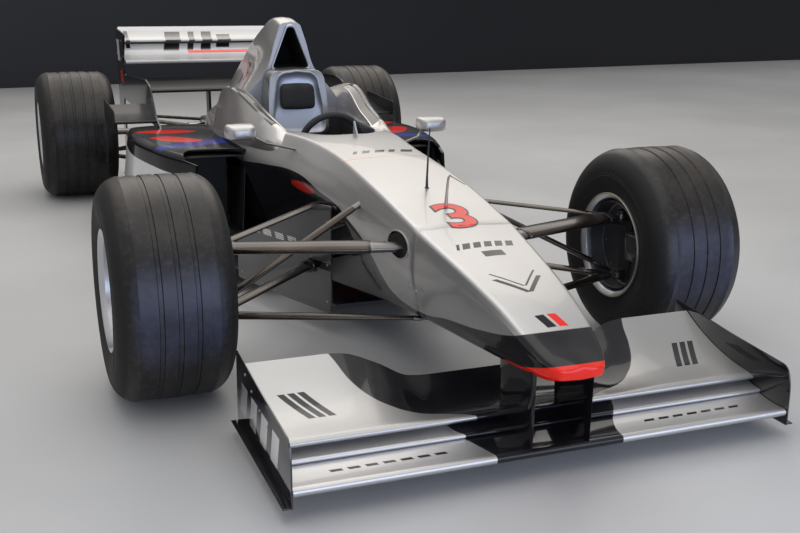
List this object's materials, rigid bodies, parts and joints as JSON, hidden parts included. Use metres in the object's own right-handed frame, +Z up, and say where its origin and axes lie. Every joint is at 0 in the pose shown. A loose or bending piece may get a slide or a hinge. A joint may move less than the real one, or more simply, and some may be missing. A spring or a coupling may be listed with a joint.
{
  "type": "open wheel racing car",
  "caption": "Single-seat racing car with exposed grooved tyres, a raised nose over a full-width front wing, side pods, airbox and rear wing; rolls and steers.",
  "frame": {"origin": "on the ground below the middle of the car's length and width", "axes": "+Z up, +Y to the rear of the car, +X to the car's left"},
  "size_m": [2, 4.51, 1.0049],
  "materials": {
    "body_silver": "gloss metallic",
    "roll_silver": "satin metallic",
    "sidepod_paint": "gloss",
    "pad": "matt",
    "radiator_core": "dark",
    "carbon": "gloss",
    "plank_wood": "pressed laminate",
    "front_wing_paint": "gloss metallic",
    "rear_wing_paint": "gloss",
    "arms": "gloss",
    "castings": "satin",
    "pipe_steel": "heat tinted",
    "lamp_red": "gloss",
    "wheel_grip": "matt",
    "screen": "clear",
    "aerial_black": "matt",
    "tyre": "worn",
    "rim_paint": "satin",
    "disc_carbon": "dark",
    "shaft_steel": "dark"
  },
  "bodies": {
    "chassis": {"nose_cone": "body_silver", "monocoque": "body_silver", "cockpit_surround": "body_silver", "roll_structure": "roll_silver", "headrest_pad": "pad", "engine_cover": "body_silver", "sidepod_left": "sidepod_paint", "sidepod_right": "sidepod_paint", "radiators": "radiator_core", "floor": "carbon", "plank": "plank_wood", "diffuser": "carbon", "front_wing_main": "front_wing_paint", "front_wing_flap": "front_wing_paint", "front_wing_endplates": "carbon", "nose_pillars": "carbon", "bargeboards": "carbon", "mirrors": "body_silver", "front_wishbones": "arms", "dash_bulkhead": "carbon", "seat": "carbon", "engine": "castings", "gearbox": "castings", "rain_light": "lamp_red", "exhausts": "pipe_steel", "tailpipes": "pipe_steel", "rear_uprights": "castings", "rear_wishbones": "arms", "rear_wing": "rear_wing_paint", "beam_wing": "carbon", "rear_endplates": "carbon", "winglets": "carbon", "windscreen": "screen", "aerials": "aerial_black"},
    "knuckle_left": {"front_knuckle_left": "castings"},
    "knuckle_right": {"front_knuckle_right": "castings"},
    "rack": {"steering_rack": "castings"},
    "handwheel": {"steering_wheel": "wheel_grip"},
    "front_wheel_left": {"front_tyre_left": "tyre", "front_rim_left": "rim_paint", "front_disc_left": "disc_carbon"},
    "front_wheel_right": {"front_tyre_right": "tyre", "front_rim_right": "rim_paint", "front_disc_right": "disc_carbon"},
    "rear_wheel_left": {"rear_tyre_left": "tyre", "rear_rim_left": "rim_paint", "rear_disc_left": "disc_carbon", "drive_shaft_left": "shaft_steel"},
    "rear_wheel_right": {"rear_tyre_right": "tyre", "rear_rim_right": "rim_paint", "rear_disc_right": "disc_carbon", "drive_shaft_right": "shaft_steel"}
  },
  "joints": [
    {"name": "steer_left", "type": "hinge", "parent": "chassis", "child": "knuckle_left", "pos_m": [0.7165, -1.285, 0.3255], "axis": [0, 0, 1], "range_deg": [-18, 18]},
    {"name": "steer_right", "type": "hinge", "parent": "chassis", "child": "knuckle_right", "pos_m": [-0.7165, -1.285, 0.3255], "axis": [0, 0, 1], "range_deg": [-18, 18]},
    {"name": "rack_slide", "type": "slide", "parent": "chassis", "child": "rack", "axis": [1, 0, 0], "range_m": [-0.0255, 0.0255]},
    {"name": "handwheel_turn", "type": "hinge", "parent": "chassis", "child": "handwheel", "pos_m": [0, -0.3, 0.548], "axis": [0, 0.9703, 0.2419], "range_deg": [-145, 145]},
    {"name": "front_spin_left", "type": "hinge", "parent": "knuckle_left", "child": "front_wheel_left", "pos_m": [0.8325, -1.285, 0.3255], "axis": [1, 0, 0], "continuous": true},
    {"name": "rear_spin_left", "type": "hinge", "parent": "chassis", "child": "rear_wheel_left", "pos_m": [0.802, 1.745, 0.3305], "axis": [1, 0, 0], "continuous": true},
    {"name": "front_spin_right", "type": "hinge", "parent": "knuckle_right", "child": "front_wheel_right", "pos_m": [-0.8325, -1.285, 0.3255], "axis": [1, 0, 0], "continuous": true},
    {"name": "rear_spin_right", "type": "hinge", "parent": "chassis", "child": "rear_wheel_right", "pos_m": [-0.802, 1.745, 0.3305], "axis": [1, 0, 0], "continuous": true}
  ],
  "couplings": [
    {"joint": "steer_right", "follows": "steer_left", "ratio": 1},
    {"joint": "rack_slide", "follows": "steer_left", "m_per_rad": -0.08},
    {"joint": "handwheel_turn", "follows": "steer_left", "ratio": 8}
  ]
}
